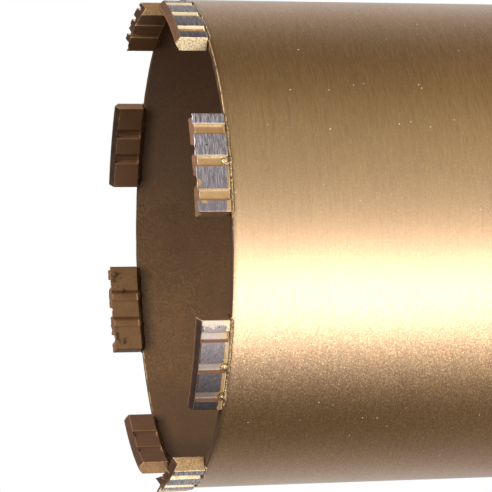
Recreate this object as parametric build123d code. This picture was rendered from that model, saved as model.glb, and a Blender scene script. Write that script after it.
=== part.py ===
from build123d import *
import os
from math import degrees, radians, tan

# Diamond core bit. It stands on the end face of its hub with the crown up: the origin is the
# centre of that face, and +Z is the axis that the bit turns about. Sizes are in millimetres.

# Cutting crown
bit_diameter = 127.0  # over the outside of the segments, the hole that the bit cuts
segment_count = 8  # roof and vee crowns take turns, so an even number
segment_length = 24.3  # between its two ends, which are cut straight and parallel
segment_thickness = 3.6
segment_height = 8.0  # foot to cutting tips
profile_depth = 1.3  # fall of a roof, or depth of a vee, below the tips
ridge_radius = 0.35  # along the top of a roof
valley_radius = 0.45  # along the bottom of a vee
vertical_edge_radius = 0.3  # on the four upright corners of a segment

# Grooves down the sides of a segment, staggered between its outer and inner face
groove_pitch = 8.15  # along the outer face
groove_width = 2.8  # at the mouth
groove_depth = 0.9
groove_draft = 20.0  # degrees that each side wall leans back
least_end_land = 2.0  # full thickness kept at each end of a segment

# Brazed joint between a segment and the rim
joint_gap = 0.2  # thickness of the solder layer
solder_leg = 0.9  # how far the solder climbs down the barrel's faces
solder_cover = 0.8  # share of the segment's overhang that the solder fills
solder_run_out = 0.5  # beyond each end of the segment

# Barrel
barrel_wall = 2.0
barrel_length = 300.0
rim_chamfer = 0.3  # outer edge under the segments
heel_chamfer = 0.5  # outer edge at the hub end

# Back plate, which closes the hub end of the barrel
plate_thickness = 8.0
plate_clearance = 0.05  # radial, in the barrel and round the hub's spigot
plate_weld_leg = 3.0  # edge of the plate cut back for the weld

# Hub with its female thread, 1-1/4 inch - 7 UNC, right through
thread_major_diameter = 31.75
thread_pitch = 25.4 / 7
thread_engagement = 0.94  # share of the full thread height left by the tapping hole
hub_diameter = 50.0
hub_length = 40.0  # end face to back plate
hub_edge_chamfer = 1.2
spigot_wall = 3.6  # round the thread, where the hub passes through the back plate
flat_width = 41.0  # across the two wrench flats
flat_height = 18.0
flat_start = 9.0  # height of the lower end of the flats
hub_weld_leg = 5.0

# Worked out from the sizes above
outer_radius = bit_diameter / 2
inner_radius = outer_radius - segment_thickness
overhang = (segment_thickness - barrel_wall) / 2
barrel_outer = outer_radius - overhang
barrel_inner = barrel_outer - barrel_wall
segment_pitch = 360 / segment_count
pitch_angle = degrees(groove_pitch / outer_radius)
outer_grooves = 1 + int((segment_length - groove_width - 2 * least_end_land) / groove_pitch)
inner_grooves = outer_grooves - 1
thread_height = thread_pitch * 3**0.5 / 2  # of a sharp 60 degree vee
bore_radius = thread_major_diameter / 2 - 5 / 8 * thread_height * thread_engagement
mouth_chamfer = thread_major_diameter / 2 - bore_radius
spigot_diameter = thread_major_diameter + 2 * spigot_wall
rim_height = hub_length + barrel_length
past = 2.0  # how far a cutting tool runs beyond the face that it opens


def turned(outline, arc=360.0):
    """Solid of revolution about the bit's axis, from an outline in radius and height.

    An arc of less than a full turn is centred on the +X side.
    """
    face = make_face(Plane.XZ * outline)
    return Rot(0, 0, -arc / 2) * revolve(face, Axis.Z, arc)


def crown_outline(is_roof):
    """Radial section of a segment, foot at height 0, with its roof or its vee on top."""
    middle = (outer_radius + inner_radius) / 2
    shoulder = segment_height - profile_depth
    edge, centre = (shoulder, segment_height) if is_roof else (segment_height, shoulder)
    section = make_face(
        Polyline(
            (inner_radius, 0),
            (outer_radius, 0),
            (outer_radius, edge),
            (middle, centre),
            (inner_radius, edge),
            close=True,
        )
    )
    corner = section.vertices().sort_by_distance((middle, centre, 0))[0]
    return fillet(corner, ridge_radius if is_roof else valley_radius)


def side_groove(face_radius, outward, top):
    """Cutter for one upright groove in the outer (outward = 1) or inner (outward = -1) face.

    It runs from below the foot to the given top height.
    """
    floor = face_radius - outward * groove_depth
    mouth = face_radius + outward * past
    slope = tan(radians(groove_draft))
    floor_half = groove_width / 2 - groove_depth * slope
    mouth_half = groove_width / 2 + past * slope
    section = make_face(
        Polyline(
            (floor, -floor_half), (mouth, -mouth_half), (mouth, mouth_half), (floor, floor_half), close=True
        )
    )
    return extrude(Pos(0, 0, -past) * section, top + past)


def spread(count):
    """Angles of a row of grooves, a groove pitch apart and centred on the segment."""
    return [(i - (count - 1) / 2) * pitch_angle for i in range(count)]


def straight_ends(ring, length):
    """Piece of a ring on the +X side, cut to length by two ends that are parallel to each other."""
    return ring & Box(bit_diameter, length, bit_diameter)


def segment(is_roof):
    """Sintered diamond segment on the +X side of the rim, with turbo grooves on both faces.

    The grooves run out through the crown of a vee, and stop under the slopes of a roof.
    """
    groove_top = segment_height - profile_depth if is_roof else segment_height + past
    section = Plane.XZ * crown_outline(is_roof)
    ring = Rot(0, 0, -segment_pitch / 2) * revolve(section, Axis.Z, segment_pitch)
    body = straight_ends(ring, segment_length)
    upright = body.edges().filter_by(Axis.Z)
    body = fillet(upright, vertical_edge_radius)
    for angle in spread(outer_grooves):
        body -= Rot(0, 0, angle) * side_groove(outer_radius, 1, groove_top)
    for angle in spread(inner_grooves):
        body -= Rot(0, 0, angle) * side_groove(inner_radius, -1, groove_top)
    return Pos(0, 0, rim_height + joint_gap) * body


def solder():
    """Brazed joint under one segment: the layer on the rim and a fillet under each overhang."""
    reach = overhang * solder_cover
    outer, inner = barrel_outer, barrel_inner
    outline = Polyline(
        (outer, -solder_leg),
        (outer, -rim_chamfer),
        (outer - rim_chamfer, 0),
        (inner, 0),
        (inner, -solder_leg),
        (inner - reach, joint_gap),
        (outer + reach, joint_gap),
        close=True,
    )
    ring = turned(outline, segment_pitch)
    return Pos(0, 0, rim_height) * straight_ends(ring, segment_length + 2 * solder_run_out)


def barrel():
    """Thin tube, its outer edges slightly broken at the rim and at the heel."""
    return turned(
        Polyline(
            (barrel_inner, hub_length),
            (barrel_outer - heel_chamfer, hub_length),
            (barrel_outer, hub_length + heel_chamfer),
            (barrel_outer, rim_height - rim_chamfer),
            (barrel_outer - rim_chamfer, rim_height),
            (barrel_inner, rim_height),
            close=True,
        )
    )


def back_plate():
    """Disc in the heel of the barrel, bored for the hub and cut back at its edge for the weld."""
    edge = barrel_inner - plate_clearance
    hole = spigot_diameter / 2 + plate_clearance
    top = hub_length + plate_thickness
    return turned(
        Polyline(
            (hole, hub_length),
            (edge - plate_weld_leg, hub_length),
            (edge, hub_length + plate_weld_leg),
            (edge, top),
            (hole, top),
            close=True,
        )
    )


def plate_weld():
    """Ring of weld that fills the cut-back edge between plate and barrel, ground flush."""
    leg = plate_weld_leg + plate_clearance
    return turned(
        Polyline(
            (barrel_inner - leg, hub_length),
            (barrel_inner, hub_length + leg),
            (barrel_inner, hub_length),
            close=True,
        )
    )


def hub():
    """Turned connector: round body, spigot through the plate, tapping bore and wrench flats."""
    body, spigot = hub_diameter / 2, spigot_diameter / 2
    top = hub_length + plate_thickness
    blank = turned(
        Polyline(
            (bore_radius + mouth_chamfer, 0),
            (body - hub_edge_chamfer, 0),
            (body, hub_edge_chamfer),
            (body, hub_length),
            (spigot, hub_length),
            (spigot, top),
            (bore_radius, top),
            (bore_radius, mouth_chamfer),
            close=True,
        )
    )
    cut = Box(hub_diameter, hub_diameter, flat_height, align=(Align.CENTER, Align.MIN, Align.MIN))
    side = Pos(0, flat_width / 2, flat_start) * cut
    return blank - side - Rot(0, 0, 180) * side


def hub_weld():
    """Fillet of weld in the corner between the hub's body and the back plate."""
    body = hub_diameter / 2
    return turned(
        Polyline(
            (body, hub_length - hub_weld_leg),
            (body, hub_length),
            (body + hub_weld_leg, hub_length),
            close=True,
        )
    )


def write(name, solid):
    """One STEP file for one piece, named after it."""
    solid.label = name
    export_step(solid, f"parts/{name}.step")


os.makedirs("parts", exist_ok=True)
write("barrel", barrel())
write("back_plate", back_plate())
write("plate_weld", plate_weld())
write("hub", hub())
write("hub_weld", hub_weld())

vee, roof, joint = segment(False), segment(True), solder()
for place in range(segment_count):
    at = Rot(0, 0, place * segment_pitch)
    write(f"segment_{place + 1}", at * (roof if place % 2 else vee))
    write(f"solder_{place + 1}", at * joint)
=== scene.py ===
# %% [markdown]
# # A diamond core bit
# The imported model gives every piece of the bit at its real size: a thin steel barrel, a back
# plate, a threaded hub, and eight diamond segments brazed on the rim. This script gives those
# pieces their finish, in one frame with the imported model, so nothing has to be fitted by eye.

# %% Tools and imported model
import math
import random

import bmesh
import bpy
import numpy as np
from mathutils import Matrix, Vector, noise


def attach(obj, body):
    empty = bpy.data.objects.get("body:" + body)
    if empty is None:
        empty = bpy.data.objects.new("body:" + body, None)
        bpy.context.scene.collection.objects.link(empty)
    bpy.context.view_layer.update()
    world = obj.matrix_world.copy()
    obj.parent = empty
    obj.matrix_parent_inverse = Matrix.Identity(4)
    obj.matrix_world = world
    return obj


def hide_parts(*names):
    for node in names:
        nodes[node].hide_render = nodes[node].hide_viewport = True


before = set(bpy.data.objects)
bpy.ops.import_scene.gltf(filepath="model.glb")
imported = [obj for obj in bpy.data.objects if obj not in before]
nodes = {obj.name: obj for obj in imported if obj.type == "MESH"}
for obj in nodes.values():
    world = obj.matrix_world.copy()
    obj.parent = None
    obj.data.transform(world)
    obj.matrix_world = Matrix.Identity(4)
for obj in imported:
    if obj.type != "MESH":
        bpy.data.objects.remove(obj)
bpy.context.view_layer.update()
print("packed pieces:", len(nodes))

# %% [markdown]
# ## Sizes of the pieces
# Each piece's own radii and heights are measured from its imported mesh. They could be typed in
# again, but measured sizes can't go wrong, and every new piece fits where the old one stood.

# %% Sizes of the pieces
MM = 0.001  # the pieces' lengths are in millimetres, and become metres when a mesh is made
SEGMENT_COUNT = sum(name.startswith("segment_") for name in nodes)
SEGMENT_STEP = 2 * math.pi / SEGMENT_COUNT


def extent(name):
    """Least and greatest radius, then least and greatest height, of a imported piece."""
    at = np.array([vertex.co[:] for vertex in nodes[name].data.vertices]) / MM
    radius, height = np.hypot(at[:, 0], at[:, 1]), at[:, 2]
    return tuple(round(float(v), 3) for v in (radius.min(), radius.max(), height.min(), height.max()))


BARREL_INSIDE, BARREL_OUTSIDE, HEEL, RIM = extent("barrel")
CUT_INSIDE, CUT_OUTSIDE, FOOT, TIP = extent("segment_1")
HUB_BORE, HUB_OUTSIDE, HUB_FACE, HUB_TOP = extent("hub")
PLATE_HOLE, PLATE_EDGE, PLATE_LOW, PLATE_TOP = extent("back_plate")
RING_INSIDE, RING_OUTSIDE, RING_LOW, RING_TOP = extent("plate_weld")
BEAD_INSIDE, BEAD_OUTSIDE, BEAD_LOW, BEAD_TOP = extent("hub_weld")
print(SEGMENT_COUNT, "segments from radius", CUT_INSIDE, "to", CUT_OUTSIDE, "foot", FOOT, "tip", TIP)
print("barrel", BARREL_INSIDE, BARREL_OUTSIDE, HEEL, RIM, "hub", HUB_BORE, HUB_OUTSIDE, HUB_TOP)

# %% [markdown]
# ## Camera
# A long lens from a little above the rim, with the camera turned on its side, so that the bit
# lies across the picture with its crown to the left. The camera's three directions are worked
# out first, because the lights are set out around them.

# %% Camera
CAMERA_AZIMUTH = math.radians(-17.6)
CAMERA_ELEVATION = math.radians(13.05)
CAMERA_ROLL = math.radians(-90.6)
CAMERA_LENS = 164.7
CAMERA_DISTANCE = 0.5815  # in metres, from the point that it aims at
AIM_DOWN_BARREL, AIM_ASIDE = 0.01732, 0.00054  # metres from the middle of the rim


def heading(azimuth, elevation=0.0):
    """Direction at an azimuth, counted from -Y, and an elevation."""
    level = math.cos(elevation)
    return Vector((math.sin(azimuth) * level, -math.cos(azimuth) * level, math.sin(elevation)))


def camera_axes(azimuth, elevation, roll):
    """Right, up and backward directions of a camera that looks at the bit's axis."""
    backward = heading(azimuth, elevation)
    level = Vector((math.cos(azimuth), math.sin(azimuth), 0))
    turn = Matrix.Rotation(roll, 3, backward)
    return turn @ level, turn @ backward.cross(level), backward


right, up, back = camera_axes(CAMERA_AZIMUTH, CAMERA_ELEVATION, CAMERA_ROLL)
camera_data = bpy.data.cameras.new("camera")
camera_data.lens = CAMERA_LENS
camera_data.sensor_width = 36.0
camera_data.clip_start = 0.01
camera = bpy.data.objects.new("camera", camera_data)
aim = Vector((0, 0, RIM * MM)) + right * AIM_DOWN_BARREL - up * AIM_ASIDE
place = aim + back * CAMERA_DISTANCE
camera.matrix_world = Matrix.Translation(place) @ Matrix((right, up, back)).transposed().to_4x4()
bpy.context.scene.collection.objects.link(camera)
bpy.context.scene.camera = camera
bpy.context.scene.view_settings.view_transform = "Standard"
print("camera stands at", tuple(round(v, 3) for v in place))

# %% [markdown]
# ## Shader tools
# Materials and the room's light are all built from shader nodes. A few small helpers keep that
# readable: one adds a node with its settings and inputs, and the others are short names for the
# nodes that come back all the time. An input may be a plain value, or the output of another
# node, which is then linked to it.


# %% Shader helpers
def plug(tree, value, socket):
    """Gives a socket its value: a link where the value is another node's output."""
    if isinstance(value, bpy.types.NodeSocket):
        tree.links.new(value, socket)
    else:
        socket.default_value = value


def add(tree, kind, inputs=None, **settings):
    """A shader node with its settings, and its inputs by name or number."""
    node = tree.nodes.new("ShaderNode" + kind)
    for key, value in settings.items():
        setattr(node, key, value)
    for key, value in (inputs or {}).items():
        plug(tree, value, node.inputs[key])
    return node


def sums(tree, operation, *values, clamp=False):
    """One step of arithmetic on numbers or outputs."""
    node = add(tree, "Math", dict(enumerate(values)), operation=operation, use_clamp=clamp)
    return node.outputs[0]


def vectors(tree, operation, *values, **inputs):
    """One step of arithmetic on vectors; a length and a dot product are numbers."""
    node = add(tree, "VectorMath", dict(enumerate(values)) | inputs, operation=operation)
    return node.outputs["Value" if operation in ("LENGTH", "DOT_PRODUCT") else "Vector"]


def span(tree, value, start, end, low=0.0, high=1.0, soft=True):
    """Reads a value on a scale: low at the start, high at the end, and eased between them."""
    inputs = {"Value": value, "From Min": start, "From Max": end, "To Min": low, "To Max": high}
    kind = "SMOOTHSTEP" if soft else "LINEAR"
    return add(tree, "MapRange", inputs, interpolation_type=kind).outputs[0]


print("helpers for numbers are ready")


# %% Colour helpers
def mix(tree, factor, first, second):
    """Colour that goes from the first to the second as the factor goes from 0 to 1."""
    node = add(tree, "Mix", {0: factor, 6: first, 7: second}, data_type="RGBA")
    return node.outputs[2]


def between(tree, factor, first, second):
    """Number that goes from the first to the second as the factor goes from 0 to 1."""
    return add(tree, "Mix", {0: factor, 2: first, 3: second}).outputs[0]


def rest_of(tree, share):
    """What a share leaves over: one minus it."""
    return sums(tree, "SUBTRACT", 1.0, share)


def colour(red, green, blue):
    """A colour as a socket takes it."""
    return (red, green, blue, 1.0)


def ramp(tree, factor, stops, interpolation="LINEAR"):
    """Colour read from a ramp of (position, colour) stops."""
    node = add(tree, "ValToRGB", {0: factor})
    elements = node.color_ramp.elements
    node.color_ramp.interpolation = interpolation
    while len(elements) < len(stops):
        elements.new(1.0)
    for element, (place, shade) in zip(elements, stops):
        element.position = place
        element.color = shade
    return node.outputs[0]


def mask(tree, name):
    """A value stored on the points of the mesh."""
    return add(tree, "Attribute", attribute_name=name, attribute_type="GEOMETRY").outputs["Fac"]


WHITE = colour(1, 1, 1)
print("helpers for colours are ready")

# %% [markdown]
# ## Studio
# A lacquered metal tube shows what stands around it: its shading is a reflection of the room.
# So the light is one soft ring of brightness round the bit, set by a colour ramp that is read
# by compass direction: a wide diffuser in front, a brighter strip beside it, dark walls at the
# sides and a white backdrop behind. All of it stands low, about level with the bit; above, the
# room is dim apart from one soft overhead lamp, and that keeps the inside of the barrel deep.
# The camera itself sees plain white there.

# %% Light ring
# Compass direction in degrees from the camera's, towards its lower edge, and brightness.
LIGHT_RING = [
    (-180, 0.78), (-150, 0.68), (-127, 0.40), (-104, 0.22), (-82, 0.22), (-55, 0.37), (-28, 0.68),
    (-8, 1.15), (5, 2.5), (18, 5.3), (33, 5.0), (48, 1.4), (66, 0.30), (83, 0.14), (100, 0.18),
    (125, 0.37), (150, 0.64), (180, 0.78),
]
RING_PEAK = 6.0
HORIZON_FROM, HORIZON_TO = -0.04, 0.06  # sine of the elevation
UPPER_LIMIT, UPPER_SHARE = 1.0, 0.16  # of the ring's brightness, above the horizon
OVERHEAD_DIRECTION = math.radians(-55)
OVERHEAD_ELEVATION = math.radians(52)
OVERHEAD_SOFT, OVERHEAD_HARD = math.cos(math.radians(38)), math.cos(math.radians(14))
OVERHEAD_STRENGTH = 4.2

world = bpy.data.worlds.new("studio")
bpy.context.scene.world = world
world.use_nodes = True
tree = world.node_tree
tree.nodes.clear()
direction = add(tree, "TexCoord").outputs["Generated"]
ahead = vectors(tree, "DOT_PRODUCT", direction, heading(CAMERA_AZIMUTH))
aside = vectors(tree, "DOT_PRODUCT", direction, heading(CAMERA_AZIMUTH - math.pi / 2))
turns = sums(tree, "MULTIPLY_ADD", sums(tree, "ARCTAN2", aside, ahead), 0.5 / math.pi, 0.5)
stops = [(degrees / 360 + 0.5, colour(*[value / RING_PEAK] * 3)) for degrees, value in LIGHT_RING]
low = sums(tree, "MULTIPLY", ramp(tree, turns, stops, "B_SPLINE"), RING_PEAK)
high = sums(tree, "MULTIPLY", sums(tree, "MINIMUM", low, UPPER_LIMIT), UPPER_SHARE)
rise = span(tree, vectors(tree, "DOT_PRODUCT", direction, (0, 0, 1)), HORIZON_FROM, HORIZON_TO)
ring = between(tree, rise, low, high)
lamp = heading(CAMERA_AZIMUTH - OVERHEAD_DIRECTION, OVERHEAD_ELEVATION)
near_lamp = vectors(tree, "DOT_PRODUCT", direction, lamp)
overhead = span(tree, near_lamp, OVERHEAD_SOFT, OVERHEAD_HARD, 0.0, OVERHEAD_STRENGTH)
room = add(tree, "Background", {"Color": WHITE, "Strength": sums(tree, "ADD", ring, overhead)})
white = add(tree, "Background", {"Color": WHITE, "Strength": 1.0})
seen = add(tree, "LightPath").outputs["Is Camera Ray"]
either = add(tree, "MixShader", {0: seen, 1: room.outputs[0], 2: white.outputs[0]})
add(tree, "OutputWorld", {0: either.outputs[0]})
print("light ring has", len(LIGHT_RING), "stops")

# %% [markdown]
# ## Floor
# A pale round floor carries the bit's shadow. Away from the foot it turns into plain white for
# the camera and for reflections, so its edge never shows against the white room. Its underside
# lets the camera through, and it is open under the hub's end face, so that the threaded end
# can be looked at from below.

# %% Floor
FLOOR_RADIUS = 0.45  # in metres, like all the floor's sizes
FLOOR_FADE_FROM, FLOOR_FADE_TO = 0.10, 0.40
FLOOR_DROP = 0.0002  # below the hub's face, so that the two never share a plane
FLOOR_OPEN_FROM, FLOOR_OPEN_TO = (HUB_BORE + 0.5) * MM, (HUB_OUTSIDE - 0.5) * MM

floor_mesh = bpy.data.meshes.new("floor")
disc = bmesh.new()
bmesh.ops.create_circle(disc, cap_ends=True, radius=FLOOR_RADIUS, segments=96)
disc.to_mesh(floor_mesh)
disc.free()
floor = bpy.data.objects.new("floor", floor_mesh)
floor.location.z = -FLOOR_DROP
bpy.context.scene.collection.objects.link(floor)
print("floor radius", FLOOR_RADIUS)

# %% Floor material
FLOOR_GREYS = colour(0.84, 0.84, 0.84), colour(0.88, 0.88, 0.88)

floor_material = bpy.data.materials.new("pale floor")
floor_material.use_nodes = True
tree = floor_material.node_tree
tree.nodes.clear()
spot = add(tree, "TexCoord").outputs["Object"]
reach = vectors(tree, "LENGTH", spot)
fade = span(tree, reach, FLOOR_FADE_FROM, FLOOR_FADE_TO)
speckle = add(tree, "TexNoise", {"Vector": spot, "Scale": 60.0, "Detail": 4.0}).outputs[0]
tint = mix(tree, speckle, *FLOOR_GREYS)
plain = add(tree, "BsdfDiffuse", {"Color": tint})
glow = add(tree, "Emission", {"Color": WHITE, "Strength": 1.0})
rays = add(tree, "LightPath").outputs
seen = sums(tree, "ADD", rays["Is Camera Ray"], rays["Is Glossy Ray"])
seen = sums(tree, "ADD", seen, rays["Is Transmission Ray"], clamp=True)
seen = sums(tree, "MULTIPLY", fade, seen)
blend = add(tree, "MixShader", {0: seen, 1: plain.outputs[0], 2: glow.outputs[0]})
back = add(tree, "NewGeometry").outputs["Backfacing"]
below = sums(tree, "MULTIPLY", back, rays["Is Camera Ray"])
past_bore = sums(tree, "GREATER_THAN", reach, FLOOR_OPEN_FROM)
under_hub = sums(tree, "MULTIPLY", past_bore, sums(tree, "LESS_THAN", reach, FLOOR_OPEN_TO))
clear = add(tree, "BsdfTransparent")
gone = sums(tree, "MAXIMUM", below, under_hub)
either = add(tree, "MixShader", {0: gone, 1: blend.outputs[0], 2: clear.outputs[0]})
add(tree, "OutputMaterial", {0: either.outputs[0]})
floor_mesh.materials.append(floor_material)
print("material:", floor_material.name)

# %% [markdown]
# ## Effects that several finishes share
# Gold lacquer is sprayed over the whole bit: over brushed steel on the barrel, over rough
# sintered metal on the segments and over weld beads at the heel. The same few effects come
# back each time, so each is a node group with its own inputs:
# - **bit places** tells a shader how far a point is from the axis, how high, and at what angle.
# - **brush lines** are fine scratches that run round the axis, left by a grinding belt.
# - **metal flakes** tilt the surface a little, grain by grain, so that the lacquer sparkles.
# - **dust specks** are the odd bits of dust that dried in the lacquer.
# - **cloudy** is slow, uneven coverage, as spray leaves it.


# %% Node group maker
def new_group(name, inputs, outputs):
    """An empty node group with named inputs and outputs; gives its tree and both ends."""
    tree = bpy.data.node_groups.new(name, "ShaderNodeTree")
    for label, (kind, default) in inputs.items():
        socket = tree.interface.new_socket(label, in_out="INPUT", socket_type="NodeSocket" + kind)
        if default is not None:
            socket.default_value = default
    for label, kind in outputs.items():
        tree.interface.new_socket(label, in_out="OUTPUT", socket_type="NodeSocket" + kind)
    start = tree.nodes.new("NodeGroupInput")
    end = tree.nodes.new("NodeGroupOutput")
    return tree, start.outputs, end.inputs


def use_group(tree, group, **inputs):
    """Places a node group in a tree; gives its outputs."""
    node = tree.nodes.new("ShaderNodeGroup")
    node.node_tree = group
    for key, value in inputs.items():
        plug(tree, value, node.inputs[key.replace("_", " ")])
    return node.outputs


places, given, result = new_group(
    "bit places",
    {"Position": ("Vector", None)},
    {"Radius": "Float", "Height": "Float", "Angle": "Float"},
)
parts = add(places, "SeparateXYZ", {0: given["Position"]}).outputs
flat = add(places, "CombineXYZ", {0: parts[0], 1: parts[1]}).outputs[0]
plug(places, sums(places, "DIVIDE", vectors(places, "LENGTH", flat), MM), result["Radius"])
plug(places, sums(places, "DIVIDE", parts[2], MM), result["Height"])
plug(places, sums(places, "ARCTAN2", parts[1], parts[0]), result["Angle"])
print("group:", places.name)

# %% Brush lines
brush_lines, given, result = new_group(
    "brush lines",
    {"Position": ("Vector", None), "Lines per mm": ("Float", 2.0), "Length": ("Float", 8.0)},
    {"Lines": "Float"},
)
parts = add(brush_lines, "SeparateXYZ", {0: given["Position"]}).outputs
along = sums(brush_lines, "DIVIDE", 1 / MM, given["Length"])
across = sums(brush_lines, "DIVIDE", given["Lines per mm"], MM)
drawn = add(brush_lines, "CombineXYZ", {
    0: sums(brush_lines, "MULTIPLY", parts[0], along),
    1: sums(brush_lines, "MULTIPLY", parts[1], along),
    2: sums(brush_lines, "MULTIPLY", parts[2], across),
}).outputs[0]
lines = add(brush_lines, "TexNoise", {"Vector": drawn, "Scale": 1.0, "Detail": 3.0, "Roughness": 0.65})
plug(brush_lines, span(brush_lines, lines.outputs[0], 0.25, 0.75, soft=False), result["Lines"])


def brushing(tree, position, lines_per_mm, length):
    """The brush lines placed in a material."""
    group = use_group(tree, brush_lines, Position=position, Lines_per_mm=lines_per_mm, Length=length)
    return group["Lines"]


print("group:", brush_lines.name)

# %% Metal flakes
metal_flakes, given, result = new_group(
    "metal flakes",
    {"Position": ("Vector", None), "Flake": ("Float", 0.3), "Tilt": ("Float", 0.1)},
    {"Normal": "Vector", "Glint": "Float"},
)
scale = sums(metal_flakes, "DIVIDE", 1 / MM, given["Flake"])
cells = add(metal_flakes, "TexVoronoi", {"Vector": given["Position"], "Scale": scale})
centred = vectors(metal_flakes, "SUBTRACT", cells.outputs["Color"], (0.5, 0.5, 0.5))
tilted = vectors(metal_flakes, "SCALE", centred, Scale=given["Tilt"])
facing = add(metal_flakes, "NewGeometry").outputs["Normal"]
leaned = vectors(metal_flakes, "ADD", facing, tilted)
plug(metal_flakes, vectors(metal_flakes, "NORMALIZE", leaned), result["Normal"])
shade = add(metal_flakes, "SeparateXYZ", {0: cells.outputs["Color"]}).outputs[0]
plug(metal_flakes, shade, result["Glint"])


def flakes_in(tree, position, flake, tilt):
    """The flakes placed in a material; gives their Normal and their Glint."""
    return use_group(tree, metal_flakes, Position=position, Flake=flake, Tilt=tilt)


print("group:", metal_flakes.name)

# %% Dust specks
dust_specks, given, result = new_group(
    "dust specks",
    {"Position": ("Vector", None), "Spacing": ("Float", 4.0), "Size": ("Float", 0.3),
     "Share": ("Float", 0.3)},
    {"Specks": "Float"},
)
scale = sums(dust_specks, "DIVIDE", 1 / MM, given["Spacing"])
cells = add(dust_specks, "TexVoronoi", {"Vector": given["Position"], "Scale": scale})
lot = add(dust_specks, "SeparateXYZ", {0: cells.outputs["Color"]}).outputs[1]
chosen = sums(dust_specks, "LESS_THAN", lot, given["Share"])
reach = sums(dust_specks, "DIVIDE", sums(dust_specks, "MULTIPLY", given["Size"], 0.5), given["Spacing"])
within = sums(dust_specks, "LESS_THAN", cells.outputs["Distance"], reach)
plug(dust_specks, sums(dust_specks, "MULTIPLY", chosen, within), result["Specks"])
print("group:", dust_specks.name)

# %% Cloudy
cloudy, given, result = new_group(
    "cloudy",
    {"Position": ("Vector", None), "Size": ("Float", 6.0), "Low": ("Float", 0.0),
     "High": ("Float", 1.0)},
    {"Value": "Float"},
)
scale = sums(cloudy, "DIVIDE", 1 / MM, given["Size"])
cloud = add(cloudy, "TexNoise", {"Vector": given["Position"], "Scale": scale, "Detail": 4.0}).outputs[0]
plug(cloudy, span(cloudy, cloud, 0.3, 0.7, given["Low"], given["High"], soft=False), result["Value"])


def clouds(tree, position, size, low, high):
    """The cloudy group placed in a material, from its lowest to its highest value."""
    return use_group(tree, cloudy, Position=position, Size=size, Low=low, High=high)["Value"]


print("group:", cloudy.name)

# %% [markdown]
# ## Brushed gold lacquer
# The outside of the barrel is steel ground with a belt while it turned, then sprayed with a
# clear gold lacquer. The belt's fine lines run round the tube, so light spreads along the tube
# and stays narrow round it: that is the shader's anisotropy. Over the metal lies a clear coat,
# which adds the white sheen in the highlight and at the very edge. It fades in between, where
# the gold stays deep.
# On one side, marked **lined**, the long lines of the belt show through the lacquer. Elsewhere
# short lines, glinting flakes and specks of dust break the colour up. **deep** marks the side
# where the gold gets a painted shade tint, the less blue colour that it shows in half shade. Both
# marks are stored on the barrel's points, further down.

# %% Material maker
def new_material(name, **constants):
    """A node material; constants go on the Principled BSDF's own sockets."""
    material = bpy.data.materials.new(name)
    material.use_nodes = True
    tree = material.node_tree
    shader = tree.nodes["Principled BSDF"]
    for key, value in constants.items():
        shader.inputs[key.replace("_", " ")].default_value = value
    position = add(tree, "TexCoord").outputs["Object"]
    return material, tree, shader.inputs, position


def relief(tree, shader, **inputs):
    """Fine relief by a Bump node: its Height, Distance and Strength, over a Normal."""
    plug(tree, add(tree, "Bump", inputs).outputs[0], shader["Normal"])


brushed, tree, shader, position = new_material(
    "brushed gold lacquer", Anisotropic=0.62, Anisotropic_Rotation=0.25,
    Coat_Roughness=0.36, Coat_IOR=2.15,
)
plug(tree, add(tree, "Tangent", direction_type="RADIAL", axis="Z").outputs[0], shader["Tangent"])
print("material:", brushed.name)

# %% Brushed lacquer, its colour
GOLD = colour(0.45, 0.215, 0.08)
GOLD_LIGHT = colour(0.95, 0.60, 0.27)
DUST = colour(0.70, 0.60, 0.46)
SHADE_TINT = colour(1.0, 1.0, 0.68)  # painted shade tint: the less blue gold of half shade
# How much each thing lightens the gold, and how that changes on the lined side.
FINE_LIGHT, FINE_CHANGE = 0.34, 0.2
GLINT_LIGHT, GLINT_CHANGE = 0.8, -0.5
BROAD_LIGHT, LINED_CHANGE = 0.16, -0.06
GLINT_POWER = 5.0  # a higher power leaves fewer flakes bright
TILT, TILT_CHANGE = 0.12, -0.06
RIM_LOSS = 0.15  # of light gold close to the rim

lined = mask(tree, "lined")
short_lines = brushing(tree, position, lines_per_mm=3.0, length=0.8)
long_lines = brushing(tree, position, lines_per_mm=5.0, length=3.5)
fine = between(tree, lined, short_lines, long_lines)
broad = brushing(tree, position, lines_per_mm=1.5, length=14.0)
tilt = sums(tree, "MULTIPLY_ADD", lined, TILT_CHANGE, TILT)
flakes = flakes_in(tree, position, flake=0.19, tilt=tilt)
contrast = sums(tree, "MULTIPLY_ADD", lined, FINE_CHANGE, FINE_LIGHT)
amount = sums(tree, "MULTIPLY_ADD", broad, BROAD_LIGHT, sums(tree, "MULTIPLY", fine, contrast))
amount = sums(tree, "MULTIPLY_ADD", lined, LINED_CHANGE, amount)
bright = sums(tree, "POWER", flakes["Glint"], GLINT_POWER)
glints = sums(tree, "MULTIPLY_ADD", lined, GLINT_CHANGE, GLINT_LIGHT)
amount = sums(tree, "MULTIPLY_ADD", bright, glints, amount)
height = use_group(tree, places, Position=position)["Height"]
amount = sums(tree, "SUBTRACT", amount, span(tree, height, RIM - 1.6, RIM - 0.9, 0.0, RIM_LOSS))
gold = mix(tree, amount, GOLD, GOLD_LIGHT)
# Painted shade tint: one side of the tube is made less blue, as the gold looks in half shade.
shade_tinted = {0: mask(tree, "deep"), 6: gold, 7: SHADE_TINT}
gold = add(tree, "Mix", shade_tinted, data_type="RGBA", blend_type="MULTIPLY").outputs[2]
dust = use_group(tree, dust_specks, Position=position, Spacing=2.6, Size=0.36, Share=0.35)["Specks"]
plug(tree, mix(tree, dust, gold, DUST), shader["Base Color"])
plug(tree, rest_of(tree, dust), shader["Metallic"])
print("the lines' part in the colour:", FINE_LIGHT, "to", FINE_LIGHT + FINE_CHANGE)

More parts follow.
